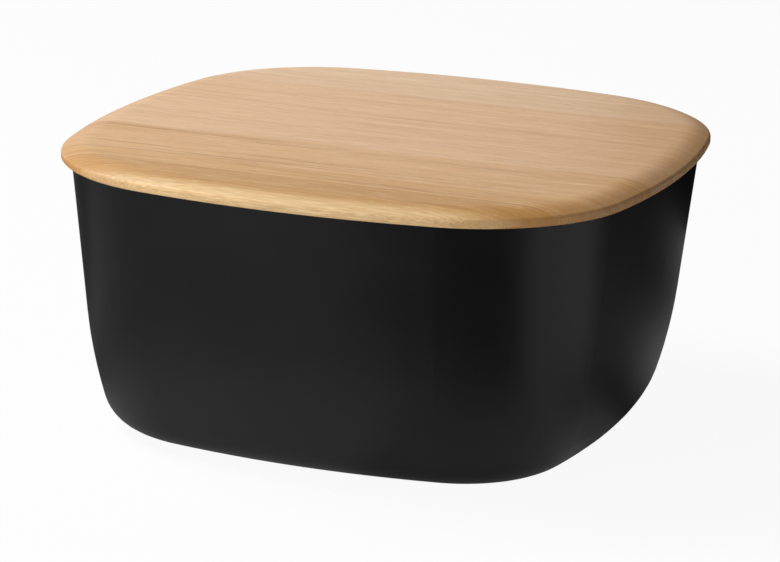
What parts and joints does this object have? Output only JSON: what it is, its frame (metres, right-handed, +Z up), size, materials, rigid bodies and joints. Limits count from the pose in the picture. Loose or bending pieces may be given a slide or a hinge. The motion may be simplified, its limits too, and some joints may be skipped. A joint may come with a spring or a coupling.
{
  "type": "bread box",
  "caption": "Square bread box with bowed sides: a moulded black tub with a rounded bottom, and a flat lift-off bamboo lid that doubles as a board.",
  "frame": {"origin": "on the table under the middle of the tub, at the underside of the pads", "axes": "+Z up, +X along the lid's strips, -Y the front that the picture shows on the left"},
  "size_m": [0.345, 0.345, 0.1655],
  "materials": {
    "tub_melamine": "satin moulded melamine",
    "lid_bamboo": "sanded and oiled bamboo strips",
    "seal_silicone": "moulded milky silicone",
    "pad_silicone": "moulded dark silicone"
  },
  "bodies": {
    "tub": {"tub_shell": "tub_melamine", "pad_front_left": "pad_silicone", "pad_back_left": "pad_silicone", "pad_front_right": "pad_silicone", "pad_back_right": "pad_silicone"},
    "lid": {"lid_strip_01": "lid_bamboo", "lid_strip_02": "lid_bamboo", "lid_strip_03": "lid_bamboo", "lid_strip_04": "lid_bamboo", "lid_strip_05": "lid_bamboo", "lid_strip_06": "lid_bamboo", "lid_strip_07": "lid_bamboo", "lid_strip_08": "lid_bamboo", "lid_strip_09": "lid_bamboo", "lid_strip_10": "lid_bamboo", "lid_strip_11": "lid_bamboo", "lid_strip_12": "lid_bamboo", "lid_strip_13": "lid_bamboo", "lid_strip_14": "lid_bamboo", "lid_strip_15": "lid_bamboo", "lid_strip_16": "lid_bamboo", "lid_strip_17": "lid_bamboo", "lid_seal": "seal_silicone"}
  },
  "joints": [
    {"name": "lid_lift", "type": "slide", "parent": "tub", "child": "lid", "axis": [0, 0, 1], "range_m": [0, 0.2]}
  ]
}
